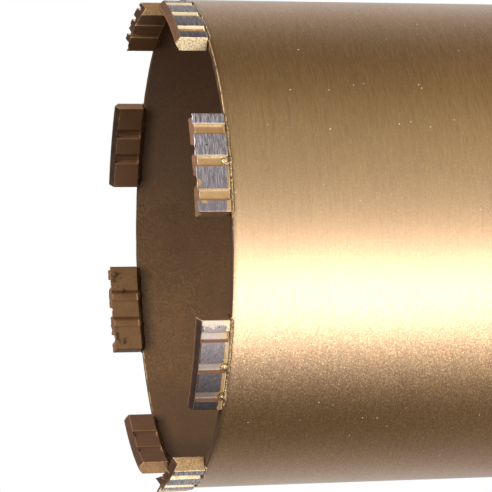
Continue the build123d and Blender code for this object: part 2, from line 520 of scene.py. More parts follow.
# %% Brushed lacquer, its gloss
ROUGH, LINE_ROUGH, UNEVEN = 0.38, -0.06, 0.03
FRONT_SHEEN, LEAST_SHEEN, EDGE_SHEEN = 1.0, 0.10, 0.5  # clear coat, head-on to the tube's edge
BELT_DEPTH = 0.0025 * MM

rough = sums(tree, "MULTIPLY_ADD", fine, LINE_ROUGH, ROUGH)
cover = clouds(tree, position, size=25.0, low=-UNEVEN, high=UNEVEN)
plug(tree, sums(tree, "ADD", rough, cover), shader["Roughness"])
away = add(tree, "LayerWeight", {0: 0.5}).outputs["Facing"]
head_on = span(tree, away, 0.05, 0.36, FRONT_SHEEN, LEAST_SHEEN)
at_edge = span(tree, away, 0.38, 0.62, 0.0, EDGE_SHEEN)
plug(tree, sums(tree, "ADD", head_on, at_edge), shader["Coat Weight"])
relief(tree, shader, Height=fine, Distance=BELT_DEPTH, Strength=1.0, Normal=flakes["Normal"])
print("clear coat from", FRONT_SHEEN, "down to", LEAST_SHEEN)

# %% [markdown]
# ## Sprayed gold lacquer
# Everything that the belt didn't reach has the same lacquer on a duller ground: the inside of
# the barrel, the rim and the hub. It has no brush lines, only a fine grain, and it reflects
# softly in every direction.
# Inside the barrel, the wall just below each segment's foot is darkened as a painted shadow. A
# mark stored on the barrel's points paints shade and light inside: above 0 it darkens one side
# with painted shade, below 0 it lightens the other side with painted light. On the rim the
# lacquer stays only in runs, kept as a mark on the barrel's points; these runs are partly painted
# light, and the brown between them partly painted shade.

# %% Sprayed lacquer inside
BRONZE_DARK = colour(0.29, 0.17, 0.096)
BRONZE = colour(0.46, 0.253, 0.112)
# Shaded and lit copies of the bronze, for the painted shade and painted light inside.
BRONZE_SHADED = colour(0.16, 0.10, 0.065)
BRONZE_LIT = colour(0.46, 0.34, 0.26)
PAINTED_SHADOW = colour(0.05, 0.03, 0.02)
PAINTED_SHADOW_DEPTH = 5.0  # millimetres down from the rim
PAINTED_SHADOW_REACH = 0.20  # radians to each side of a segment's middle
PAINTED_SHADOW_DARK = 0.75

inside, tree, shader, position = new_material(
    "sprayed lacquer inside with painted light and shade", Metallic=0.6, Coat_Weight=0.25, Coat_Roughness=0.5,
)
flakes = flakes_in(tree, position, flake=0.30, tilt=0.22)
cover = clouds(tree, position, size=14.0, low=0.25, high=0.75)
# Painted shadow: the wall under each segment's foot is darkened towards near black.
where = use_group(tree, places, Position=position)
turn = sums(tree, "PINGPONG", where["Angle"], SEGMENT_STEP / 2)
behind = span(tree, turn, PAINTED_SHADOW_REACH - 0.04, PAINTED_SHADOW_REACH + 0.03, 1.0, 0.0)
near = span(tree, where["Height"], RIM - PAINTED_SHADOW_DEPTH, RIM - 0.5)
shadow = sums(tree, "MULTIPLY", behind, near)
amount = sums(tree, "MULTIPLY_ADD", flakes["Glint"], 0.3, cover)
# Painted shade on one side of the inside and painted light on the other, by direction round the tube.
inside_shading = mask(tree, "inside_shading")
paint = mix(tree, sums(tree, "SUBTRACT", amount, inside_shading), BRONZE_DARK, BRONZE)
paint = mix(tree, inside_shading, paint, BRONZE_SHADED)
paint = mix(tree, sums(tree, "MULTIPLY", inside_shading, -1.0), paint, BRONZE_LIT)
dark = sums(tree, "MULTIPLY", shadow, PAINTED_SHADOW_DARK)
plug(tree, mix(tree, dark, paint, PAINTED_SHADOW), shader["Base Color"])
plug(tree, sums(tree, "MULTIPLY_ADD", cover, 0.1, 0.5), shader["Roughness"])
plug(tree, flakes["Normal"], shader["Normal"])
print("material:", inside.name)

# %% Worn lacquer on the rim, with painted light and shade
RIM_BROWN_SHADE = colour(0.105, 0.058, 0.034)
RIM_GILT_LIGHT = colour(0.62, 0.40, 0.19)

rim_worn_and_shaded, tree, shader, position = new_material(
    "worn rim lacquer with painted light and shade", Roughness=0.5, Specular_IOR_Level=0.2, Coat_Roughness=0.3,
)
patchy = clouds(tree, position, size=2.2, low=-0.45, high=0.45)
# The brown stands partly for the rim's wear and partly for painted shade; the gilt runs partly for
# painted light.
gilt_and_light = span(tree, sums(tree, "ADD", mask(tree, "gilt_and_light"), patchy), 0.35, 0.75)
plug(tree, mix(tree, gilt_and_light, RIM_BROWN_SHADE, RIM_GILT_LIGHT), shader["Base Color"])
plug(tree, gilt_and_light, shader["Metallic"])
plug(tree, sums(tree, "MULTIPLY", gilt_and_light, 0.4), shader["Coat Weight"])
print("material:", rim_worn_and_shaded.name)

# %% Sprayed lacquer in the open
sprayed, tree, shader, position = new_material(
    "sprayed gold lacquer", Metallic=1.0, Coat_Weight=0.3, Coat_Roughness=0.4,
)
flakes = flakes_in(tree, position, flake=0.30, tilt=0.25)
cover = clouds(tree, position, size=10.0, low=0.4, high=0.6)
amount = sums(tree, "MULTIPLY_ADD", flakes["Glint"], 0.4, cover)
plug(tree, mix(tree, amount, GOLD, GOLD_LIGHT), shader["Base Color"])
plug(tree, sums(tree, "MULTIPLY_ADD", cover, 0.12, 0.40), shader["Roughness"])
plug(tree, flakes["Normal"], shader["Normal"])
print("material:", sprayed.name)

# %% [markdown]
# ## Meshes from rows of points
# Nearly every piece here is a skin over rows of points: an outline carried round the axis.
# Numpy works the points out, and one function stretches quads over them. It closes the skin
# around, along, or with a cap at each end, so that every piece is a solid.


# %% Into the scene
def to_object(name, mesh, materials, node, crease=40):
    """Puts a finished mesh in the scene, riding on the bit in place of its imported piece."""
    for material in materials:
        mesh.materials.append(material)
    mesh.shade_smooth()
    mesh.set_sharp_from_angle(angle=math.radians(crease))
    piece = bpy.data.objects.new(name, mesh)
    bpy.context.scene.collection.objects.link(piece)
    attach(piece, "root")
    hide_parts(node)
    return piece


def store(mesh, masks):
    """Keeps named values on the points of a mesh, for its material to read."""
    for label, values in (masks or {}).items():
        values = np.asarray(values, np.float32).ravel()
        mesh.attributes.new(label, "FLOAT", "POINT").data.foreach_set("value", values)


print("helpers for pieces are ready")


# %% Skin over rows of points
def skin(name, points, along=False, caps=False, masks=None):
    """Mesh of quads over points given as rows x columns x 3 in millimetres, closed around.

    It is also closed along its rows, or with a cap at each end, if asked.
    """
    rows, columns = points.shape[:2]
    last = rows if along else rows - 1
    faces = []
    for row in range(last):
        below, above = row * columns, (row + 1) % rows * columns
        for column in range(columns):
            after = (column + 1) % columns
            faces.append((below + column, below + after, above + after, above + column))
    if caps:
        faces.append(tuple(range(columns)))
        faces.append(tuple(range((rows - 1) * columns, rows * columns)))
    mesh = bpy.data.meshes.new(name)
    mesh.from_pydata(points.reshape(-1, 3) * MM, [], faces)
    store(mesh, masks)
    return tidy(mesh)


def tidy(mesh):
    """Welds points that coincide and turns every face outward."""
    work = bmesh.new()
    work.from_mesh(mesh)
    bmesh.ops.remove_doubles(work, verts=work.verts, dist=1e-6)
    bmesh.ops.recalc_face_normals(work, faces=work.faces)
    work.to_mesh(mesh)
    work.free()
    return mesh


print("skin helper is ready")


# %% Points round the axis
def polar(radius, angle, height):
    """A point from its radius, its angle in radians and its height."""
    return (radius * math.cos(angle), radius * math.sin(angle), height)


def turned(outline, sides):
    """Rows of points of a closed outline (radius, height) carried round the axis."""
    angle = np.arange(sides) * 2 * math.pi / sides
    radius, height = np.array(outline, float).T
    circle = np.stack([np.cos(angle), np.sin(angle), np.zeros(sides)], axis=-1)
    return radius[:, None, None] * circle + height[:, None, None] * np.array([0, 0, 1.0])


print("a point at radius 1 and a quarter turn:", [round(v, 3) for v in polar(1, math.pi / 2, 0)])

# %% [markdown]
# ## Barrel
# A seamless tube with a 2 mm wall. At the rim its outer edge is just broken with a file, so it
# catches a thin bright line, and the lacquer there is uneven. The tube is one outline carried
# round in 360 steps. A few rows near the rim let its edge waver by a few hundredths of a
# millimetre, as a filed edge does.

# %% Barrel shape
HEEL_BREAK, RIM_BREAK = 0.5, 0.3
WAVER_ROWS = range(8, 14)  # rows of the outline that lie on the rim's edges
SLOW_WAVER, FAST_WAVER = 0.35, 1.3  # waves of noise for each millimetre
WAVER_FALL, WAVER_DROP, WAVER_IN = 0.05, 0.03, 0.0006
outline = [
    (BARREL_INSIDE, HEEL), (BARREL_OUTSIDE - HEEL_BREAK, HEEL),
    (BARREL_OUTSIDE - 0.12, HEEL + HEEL_BREAK - 0.12), (BARREL_OUTSIDE, HEEL + HEEL_BREAK),
    (BARREL_OUTSIDE, HEEL + 20), (BARREL_OUTSIDE, RIM - 60), (BARREL_OUTSIDE, RIM - 5),
    (BARREL_OUTSIDE, RIM - 1.2), (BARREL_OUTSIDE, RIM - RIM_BREAK),
    (BARREL_OUTSIDE - 0.05, RIM - 0.14), (BARREL_OUTSIDE - 0.15, RIM - 0.04),
    (BARREL_OUTSIDE - RIM_BREAK, RIM), (BARREL_INSIDE + 0.12, RIM),
    (BARREL_INSIDE, RIM - 0.12), (BARREL_INSIDE, RIM - 5), (BARREL_INSIDE, RIM - 60),
]
points = turned(outline, 360)
for row in WAVER_ROWS:
    for at in points[row]:
        waver = noise.noise(Vector(at) * SLOW_WAVER) + 0.5 * noise.noise(Vector(at) * FAST_WAVER)
        at[2] += min(0.0, WAVER_FALL * waver - WAVER_DROP)
        at[:2] *= 1 - max(0.0, WAVER_IN * waver)
print("barrel outline has", len(outline), "corners")

# %% Barrel marks
# All directions are in degrees round the axis, from +X.
SHADED_SIDE, LIT_SIDE = 158, 15  # where the inside gets its painted shade and its painted light
SHADE_MOST, LIGHT_MOST = 0.55, 0.75
SHADE_TINT_SIDE = 273  # where the outside gets the most painted shade tint
LINED_SIDE = 290  # where the belt's lines show most through the lacquer
# Runs of gilt on the rim's edges, partly painted light where the rim catches it: direction, half width,
# and how much.
GILT_LIGHT_RUNS = [(-68, 34, 0.75), (112, 14, 0.7)]
RIM_FACE = slice(11, 13)  # rows on the flat of the rim, brown but for one run: worn, and partly painted shade
FACE_RUN, FACE_RUN_WIDTH, FACE_LOSS = 112, 40, 0.45

turn = np.degrees(np.arctan2(points[:, :, 1], points[:, :, 0]))


def lobe(side, power):
    """A mark that is 1 in one direction and fades to 0 round the tube; a high power is narrow."""
    return np.clip(np.cos(np.radians(turn - side)), 0, 1) ** power


def run(side, wide):
    """A mark that is 1 over a run of the rim and falls off quickly beyond its half width."""
    return np.exp(-(((turn - side + 180) % 360 - 180) / wide) ** 4)


# Gilt runs, partly painted light; the flat of the rim loses them but for one run, partly painted shade.
gilt_and_light = sum(much * run(side, wide) for side, wide, much in GILT_LIGHT_RUNS)
gilt_and_light[RIM_FACE] -= FACE_LOSS * (np.abs(turn[RIM_FACE] - FACE_RUN) > FACE_RUN_WIDTH)
# The inside mark paints shade on one side of the barrel's inside and light on the other.
barrel_marks = {
    "gilt_and_light": gilt_and_light,
    "inside_shading": SHADE_MOST * lobe(SHADED_SIDE, 4) - LIGHT_MOST * lobe(LIT_SIDE, 4),
    "deep": lobe(SHADE_TINT_SIDE, 14),
    "lined": lobe(LINED_SIDE, 4),
}
print("marks on the barrel:", *barrel_marks)

# %% Barrel piece
mesh = skin("barrel_tube", points, along=True, masks=barrel_marks)
for face in mesh.polygons:
    middle = Vector(face.center) / MM
    reach = math.hypot(middle.x, middle.y)
    outer = reach > BARREL_OUTSIDE - 0.02 and abs(face.normal.z) < 0.5
    within = reach < BARREL_INSIDE + 0.02
    at_rim = middle.z > RIM - 1
    face.material_index = 0 if outer else 1 if within else 2 if at_rim else 3
to_object("barrel_tube", mesh, [brushed, inside, rim_worn_and_shaded, sprayed], "barrel")
print("barrel", len(mesh.polygons), "faces")

# %% [markdown]
# ## Diamond segments
# Each segment is sintered metal powder full of diamond grit, pressed in a mould. Its outer and
# inner faces have upright grooves, staggered, and its top is a roof or a vee. It could be cut
# from a block with booleans, but the edges would stay razor sharp. Here a block of grid lines
# is bent into shape instead: every point of its surface is moved to its place by a few plain
# rules, which also round the edges, chip the thin lips and roughen the faces.

# %% Segment sizes
GROOVE_STEP = 8.15  # between grooves, along the outer face
GROOVE_MOUTH = 2.8
GROOVE_DEPTH = 0.9
GROOVE_LEAN = GROOVE_DEPTH * math.tan(math.radians(20))
CROWN_FALL = 1.3  # of a roof, or depth of a vee
CROWN_SOFT = 0.25
EDGE_ROUND = 0.2
FOOT_FILL = 0.4  # height above the foot up to which solder and lacquer fill a groove's lower end
HALF_LENGTH = max(abs(v.co.y) for v in nodes["segment_1"].data.vertices) / MM
HALF_SPAN = math.asin(HALF_LENGTH / CUT_OUTSIDE)
HALF_ARC = HALF_SPAN * CUT_OUTSIDE
THICK, MIDDLE = CUT_OUTSIDE - CUT_INSIDE, (CUT_INSIDE + CUT_OUTSIDE) / 2
TALL = TIP - FOOT
OUTER_GROOVES = [step * GROOVE_STEP / CUT_OUTSIDE for step in (-1, 0, 1)]
INNER_GROOVES = [step * GROOVE_STEP / CUT_OUTSIDE for step in (-0.5, 0.5)]
print("segment", *(round(size, 2) for size in (2 * HALF_LENGTH, THICK, TALL)), "long, thick and tall")

# %% Groove profile
FLOOR_ROUND = 1.4  # how far the rounded corner of a groove's floor reaches, in widths of its wall
SOFTENING = (-0.05, 0.0, 0.05)  # the profile is averaged over these shifts, which rounds its mouth


def groove_share(angle, radius, centres):
    """How deep in a groove each angle lies on a side face: 0 on the land, 1 on the floor."""
    share = np.zeros_like(angle)
    for shift in SOFTENING:
        deepest = np.zeros_like(angle)
        for centre in centres:
            inward = (GROOVE_MOUTH / 2 - np.abs((angle - centre) * radius + shift)) / GROOVE_LEAN
            part = np.clip(0.5 + 0.5 * (1 - inward) / FLOOR_ROUND, 0, 1)
            curved = inward * part + 1 - part - FLOOR_ROUND * part * (1 - part)
            deepest = np.maximum(deepest, np.clip(curved, 0, 1))
        share += deepest / len(SOFTENING)
    return share


print("groove wall leans over", round(GROOVE_LEAN, 2))

# %% Grid lines
AT_ENDS = (0.03, 0.08, 0.14, EDGE_ROUND)  # extra lines, this far in from each end
AT_CREASES = (-0.11, -0.04, 0.04, 0.11)  # and this far to each side of a crease
CLOSEST = 0.025


def grid_lines(length, step, creases):
    """Grid lines over a length: even steps, with extra ones close to its ends and its creases."""
    lines = list(np.linspace(0, length, int(length / step) + 1))
    for inset in AT_ENDS:
        lines += [inset, length - inset]
    for crease in creases:
        lines += [crease + shift for shift in AT_CREASES]
    lines.sort()
    kept = [0.0]
    for line in lines:
        if line - kept[-1] > CLOSEST:
            kept.append(line)
    kept[-1] = length
    return np.array(kept)


def groove_creases():
    """Places along a segment where a groove's wall meets its land and curves into its floor."""
    creases = []
    for centre in OUTER_GROOVES + INNER_GROOVES:
        for walls in (0, 1, 2):
            half = GROOVE_MOUTH / 2 - walls * GROOVE_LEAN
            creases += [HALF_ARC + centre * CUT_OUTSIDE - half, HALF_ARC + centre * CUT_OUTSIDE + half]
    return creases


ALONG = grid_lines(2 * HALF_ARC, 0.45, groove_creases())
ACROSS = grid_lines(THICK, 0.3, [THICK / 2])
UPRIGHT = grid_lines(TALL, 0.4, [FOOT_FILL / 2, FOOT_FILL])
print("grid of", len(ALONG), "x", len(ACROSS), "x", len(UPRIGHT), "lines")


# %% Block of grid lines
def block_surface(first, second, third):
    """Points and quads over the surface of a block, from its grid lines in three directions."""
    counts = len(first), len(second), len(third)
    number = {}
    points = []
    faces = []

    def corner(key):
        if key not in number:
            number[key] = len(points)
            points.append((first[key[0]], second[key[1]], third[key[2]]))
        return number[key]

    for axis in range(3):
        one, two = [n for n in range(3) if n != axis]
        for side in (0, counts[axis] - 1):
            for i in range(counts[one] - 1):
                for j in range(counts[two] - 1):
                    quad = []
                    for step_i, step_j in ((0, 0), (1, 0), (1, 1), (0, 1)):
                        key = [side] * 3
                        key[one], key[two] = i + step_i, j + step_j
                        quad.append(corner(tuple(key)))
                    faces.append(quad)
    return np.array(points), faces


block_points, block_faces = block_surface(ALONG, ACROSS, UPRIGHT)
print("block has", len(block_faces), "faces")


# %% Rounded and chipped edges
CHIPS = 4  # along each lip
CHIP_WIDTH, CHIP_SHARE = (0.4, 1.3), (0.3, 1.0)  # half width, and share of the deepest one
ROOF_CHIP, VEE_CHIP = 0.12, 0.45  # depth of the deepest
LIP = 1.0  # width of the lip that a chip can reach


def rounded(place, low, high, round_off):
    """Pulls points near an edge of their box onto a rounded edge."""
    inset = np.maximum(0, round_off - np.minimum(place - low, high - place))
    length = np.maximum(np.linalg.norm(inset, axis=1, keepdims=True), round_off)
    pull = inset * (1 - round_off / length)
    sign = np.where(place - low < high - place, 1.0, -1.0)
    return place + sign * pull, length[:, 0] / round_off - 1


def bites(angle, chance, deepest):
    """Small chips along an edge: how much is missing at each angle."""
    missing = np.zeros_like(angle)
    for _ in range(CHIPS):
        centre = chance.uniform(-HALF_SPAN, HALF_SPAN)
        width = chance.uniform(*CHIP_WIDTH) / CUT_OUTSIDE
        depth = chance.uniform(*CHIP_SHARE) * deepest
        missing = np.maximum(missing, depth * (1 - ((angle - centre) / width) ** 2))
    return missing


print("chips up to", ROOF_CHIP, "deep on a roof and", VEE_CHIP, "on a vee")


# %% Marks round the grooves
BAND_START, BAND_WIDTH, BAND_FULL = -0.06, 0.3, 1.2  # painted highlight in a band beside a groove's mouth
WALL_FROM, WALL_TO = 0.04, 0.85  # shares of a groove's depth between which its walls lie


def groove_edge(angle, radius, centres, side):
    """Narrow band on the land along one side (1 or -1) or both sides (0) of a groove's mouth."""
    band = np.zeros_like(angle)
    for centre in centres:
        off = (angle - centre) * radius
        beyond = (off * side if side else np.abs(off)) - GROOVE_MOUTH / 2
        fading = np.clip(BAND_FULL - beyond / BAND_WIDTH, 0, 1)
        band = np.maximum(band, np.where(beyond > BAND_START, fading, 0))
    return band


def wall_side(angle, share, centres):
    """Which wall of a groove each point is on: 1 or -1, and 0 on the lands and floors."""
    off = angle[:, None] - np.array(centres)
    nearest = np.abs(off).argmin(axis=1)
    side = np.sign(off[np.arange(len(angle)), nearest])
    return np.where((share > WALL_FROM) & (share < WALL_TO), side, 0)


print("marks follow", len(OUTER_GROOVES), "outer and", len(INNER_GROOVES), "inner grooves")


# %% Segment shape
FOOT_SHARE = 0.5  # part of a groove's depth that is filled at its foot
CROWN_SINK = 0.6 * CROWN_SOFT  # shares the softening between the crown's middle and its sides
LAND_SHARPNESS = 9
FLOOR_FROM, FLOOR_FADE = 0.8, 0.15  # share of a groove's depth at which its floor starts
RIDGE_FULL, RIDGE_WIDTH = 1.6, 0.25  # painted highlight along the ridge of a roof
EDGE_SHINE = 4


def segment_points(is_roof, shiny_side, chance):
    """Places of a segment's points (along, radius, height), how near an edge they are, and marks."""
    angle = block_points[:, 0] / CUT_OUTSIDE - HALF_SPAN
    filled = np.clip(1 - block_points[:, 2] / FOOT_FILL, 0, 1) ** 2
    grooved = 1 - FOOT_SHARE * filled
    if is_roof:
        grooved[block_points[:, 2] >= TALL] = 0
    outer = groove_share(angle, CUT_OUTSIDE, OUTER_GROOVES) * grooved
    inner = groove_share(angle, CUT_INSIDE, INNER_GROOVES) * grooved
    low = CUT_INSIDE + inner * GROOVE_DEPTH
    high = CUT_OUTSIDE - outer * GROOVE_DEPTH
    share = block_points[:, 1] / THICK
    radius = low + share * (high - low)
    off_middle = np.abs(radius - MIDDLE)
    soft = np.sqrt(off_middle**2 + CROWN_SOFT**2) - CROWN_SINK
    slope = np.clip(soft / (THICK / 2), 0, 1)
    top = TALL - CROWN_FALL * (slope if is_roof else 1 - slope)
    lip = np.clip(1 - (THICK / 2 - off_middle) / LIP, 0, 1)
    deepest = ROOF_CHIP if is_roof else VEE_CHIP
    outer_bites = bites(angle, chance, deepest)
    inner_bites = bites(angle, chance, deepest)
    top = top - lip * np.where(radius > MIDDLE, outer_bites, inner_bites)
    height = block_points[:, 2] / TALL * top
    place = np.stack([angle * CUT_OUTSIDE, radius, height], axis=1)
    bottom = np.stack([np.full_like(angle, -HALF_ARC), low, np.zeros_like(angle)], axis=1)
    ceiling = np.stack([np.full_like(angle, HALF_ARC), high, top], axis=1)
    place, edge = rounded(place, bottom, ceiling, EDGE_ROUND)
    outside = share > 0.995
    at_mouth = (share < 0.01) * (grooved > 0)
    # shine marks painted highlights: a band beside the inner grooves' mouths, a roof's ridge, and the
    # rounded edges.
    shine = groove_edge(angle, CUT_INSIDE, INNER_GROOVES, shiny_side) * at_mouth
    ridge = np.clip(RIDGE_FULL - off_middle / RIDGE_WIDTH, 0, 1) * is_roof
    ridge = ridge * (block_points[:, 2] >= TALL)
    marks = {
        "land": np.clip(1 - LAND_SHARPNESS * outer, 0, 1) * outside,
        "floor": np.clip((outer - FLOOR_FROM) / FLOOR_FADE, 0, 1) * outside,
        "wall": wall_side(angle, outer, OUTER_GROOVES) * outside,
        "shine": np.maximum(np.maximum(shine, ridge), np.clip(EDGE_SHINE * edge, 0, 1)),
    }
    return place, edge, marks


def bent(place, order):
    """Bends a straight segment round the bit. Its two ends stay parallel to each other."""
    angle = place[:, 0] / CUT_OUTSIDE
    last = OUTER_GROOVES[-1] + GROOVE_MOUTH / 2 / CUT_OUTSIDE
    ends = np.clip((np.abs(angle) - last) / (HALF_SPAN - last), 0, 1)
    angle += np.sign(angle) * ends * (np.arcsin(HALF_LENGTH / place[:, 1]) - HALF_SPAN)
    angle += order * SEGMENT_STEP
    radius, height = place[:, 1], place[:, 2] + FOOT
    return np.stack([radius * np.cos(angle), radius * np.sin(angle), height], axis=1)


print("segment rules are ready")

# %% Rough faces
GRAIN_SEED = 1
noise.seed_set(GRAIN_SEED)  # without a seed, noise_vector starts from the clock
GRAIN_WAVES, GRAIN_DEPTH = 1.4, 0.010
LOSS_WAVES, LOSS_FROM, LOSS_DEPTH = 0.9, 0.05, 0.22  # where an edge stands out
LOSS_SHARPNESS = 4
SEED_STEP = 37.0  # keeps the noise of one segment away from the next one's


def roughen(place, edge, seed):
    """Grainy surface, and small losses where an edge stands out."""
    moved = place.copy()
    for number, (at, sharp) in enumerate(zip(place, edge)):
        spot = Vector(at) + Vector((seed * SEED_STEP, 0, 0))
        grain = noise.noise_vector(spot * GRAIN_WAVES) * GRAIN_DEPTH
        loss = max(0.0, noise.noise(spot * LOSS_WAVES) - LOSS_FROM) * LOSS_DEPTH
        loss *= min(1.0, sharp * LOSS_SHARPNESS)
        moved[number] += grain
        moved[number, 1] += loss if at[1] < MIDDLE else -loss
        moved[number, 2] -= loss if at[2] > TALL / 2 else -loss
    moved[:, 1] = np.clip(moved[:, 1], CUT_INSIDE, CUT_OUTSIDE)
    moved[:, 2] = np.clip(moved[:, 2], 0, TALL)
    return moved


print("grain up to", GRAIN_DEPTH, "and losses up to", LOSS_DEPTH)

# %% [markdown]
# ## Finish of a segment
# The whole segment was sprayed gold with the barrel, then the crown was ground round on the
# outside. The wheel took the lacquer off the lands between the grooves and left bare, lilac
# grey metal with bright streaks, but it stopped a little above the braze, and here and there a
# patch of lacquer stayed on. Inner faces, ends and crowns are browner: partly less lacquer, and
# partly painted shade, set face by face to how bright each looks.
# One material can say all that, because each point carries its own marks, made with the mesh:
# - **land** is the part that the wheel reached, **strip** is how high it stopped, **patch** is
#   lacquer left on, and **tone** is how bright the metal ground, graded from end to end with
#   painted light and shade;
# - **cover** is how much lacquer there is, with painted highlights on edges, ridges and groove
#   mouths and painted light and shade on the groove walls added in, and **sparkle** is how much
#   its flakes show;
# - **worn** is lacquer rubbed thin, and **grime** is a dark smudge.
# The marks **floor**, **wall** and **shine** only help to work out the others. Noise breaks up
# every border, so that none looks cut.

# %% Segment material, where the metal is bare
TEETH = 0.35  # how far the wheel's streaks cut into a patch of lacquer

segment_finish, tree, shader, position = new_material("sprayed and ground segment", Coat_Roughness=0.4)
height = use_group(tree, places, Position=position)["Height"]
flakes = flakes_in(tree, position, flake=0.26, tilt=0.10)
streaks = brushing(tree, position, lines_per_mm=5.0, length=3.0)
ragged = clouds(tree, position, size=0.9, low=-1.0, high=1.0)


def ragged_edge(value, much, start, end):
    """Cuts a value into a mask whose border is broken up by noise."""
    return span(tree, sums(tree, "MULTIPLY_ADD", ragged, much, value), start, end)


above = sums(tree, "SUBTRACT", sums(tree, "SUBTRACT", height, FOOT), mask(tree, "strip"))
torn = sums(tree, "SUBTRACT", streaks, 0.5)
teeth = sums(tree, "MULTIPLY_ADD", torn, TEETH, mask(tree, "patch"))
land = ragged_edge(mask(tree, "land"), 0.12, 0.45, 0.55)
cleared = ragged_edge(above, 0.15, -0.08, 0.08)
left = ragged_edge(teeth, 0.2, 0.44, 0.56)
bare = sums(tree, "MULTIPLY", sums(tree, "MULTIPLY", land, cleared), rest_of(tree, left))
print("material:", segment_finish.name)

# %% Segment material, the metal
BARE = colour(0.33, 0.275, 0.285)
BARE_BRIGHT = colour(1.0, 0.92, 0.93)
BARE_DARK = colour(0.07, 0.06, 0.06)
PIT = colour(0.05, 0.045, 0.045)

# tone is partly how bright the metal was ground and partly painted light and shade, graded end to end.
tone = mask(tree, "tone")
glare = sums(tree, "MULTIPLY", span(tree, streaks, 0.4, 0.9, 0.0, 1.1, soft=False), tone)
metal = mix(tree, sums(tree, "MULTIPLY", glare, tone), BARE, BARE_BRIGHT)
metal = mix(tree, rest_of(tree, tone), metal, BARE_DARK)
pit = use_group(tree, dust_specks, Position=position, Spacing=2.0, Size=0.42, Share=0.4)["Specks"]
metal = mix(tree, pit, metal, PIT)
print("bare metal is ready")

# %% Segment material, the lacquer
GRIME_AND_SHADE = colour(0.06, 0.045, 0.035)
RUBBED = colour(0.63, 0.54, 0.51)
PAINT = [  # from no lacquer at all to the fullest
    (0.0, colour(0.05, 0.032, 0.024)), (0.5, colour(0.32, 0.16, 0.088)),
    (0.7, colour(0.43, 0.222, 0.09)), (0.85, colour(0.53, 0.34, 0.15)),
    (0.94, colour(0.74, 0.55, 0.30)), (1.0, colour(0.96, 0.78, 0.50)),
]
UNEVENNESS = 0.12

uneven = sums(tree, "SUBTRACT", clouds(tree, position, size=2.5, low=0.2, high=0.9), 0.5)
sparkle = sums(tree, "MULTIPLY", sums(tree, "SUBTRACT", flakes["Glint"], 0.5), mask(tree, "sparkle"))
amount = sums(tree, "MULTIPLY_ADD", uneven, UNEVENNESS, sparkle)
amount = sums(tree, "ADD", amount, mask(tree, "cover"))
rubbed = sums(tree, "MULTIPLY", mask(tree, "worn"), span(tree, above, -0.4, 1.6))
# Painted shade: where tone is low the rubbed lacquer goes towards the dark grime colour.
pale = mix(tree, span(tree, tone, 0.22, 0.5, 0.05, 1.0, soft=False), GRIME_AND_SHADE, RUBBED)
smudge = clouds(tree, position, size=1.1, low=-0.5, high=0.5)
grime = span(tree, sums(tree, "ADD", smudge, mask(tree, "grime")), 0.4, 1.1, 0.0, 0.8)
painted = mix(tree, grime, mix(tree, rubbed, ramp(tree, amount, PAINT), pale), GRIME_AND_SHADE)
plug(tree, mix(tree, bare, painted, metal), shader["Base Color"])
print("lacquer has", len(PAINT), "shades")

# %% Segment material, its gloss and grain
PAINT_METALLIC, PAINT_ROUGH, BARE_ROUGH = 0.5, 0.56, 0.38
FULLEST_COAT = 0.3

plug(tree, span(tree, bare, 0.0, 1.0, PAINT_METALLIC, 1.0, soft=False), shader["Metallic"])
plug(tree, span(tree, bare, 0.0, 1.0, PAINT_ROUGH, BARE_ROUGH, soft=False), shader["Roughness"])
coat = span(tree, mask(tree, "cover"), 0.2, 0.9, 0.0, FULLEST_COAT, soft=False)
plug(tree, sums(tree, "MULTIPLY", rest_of(tree, bare), coat), shader["Coat Weight"])
grain = add(tree, "TexNoise", {"Vector": position, "Scale": 4500.0, "Detail": 2.0}).outputs[0]
surface = mix(tree, bare, grain, streaks)
relief(tree, shader, Height=surface, Distance=0.01 * MM, Strength=0.8, Normal=flakes["Normal"])
print("roughness from", BARE_ROUGH, "to", PAINT_ROUGH)

# %% [markdown]
# ## What sets each segment apart
# No two segments were sprayed and ground alike. Many values were also set to how bright each
# face looks, so besides lacquer and grinding they carry painted light and shade. One table holds
# what is usual and another only what differs, so that a segment can be changed by itself. A pair
# of values is for the two ends of the segment's span. Spots are given as their place along the
# segment, from -1 to 1, their height, from foot 0 to tip 1, and their half sizes in millimetres
# along and upright.

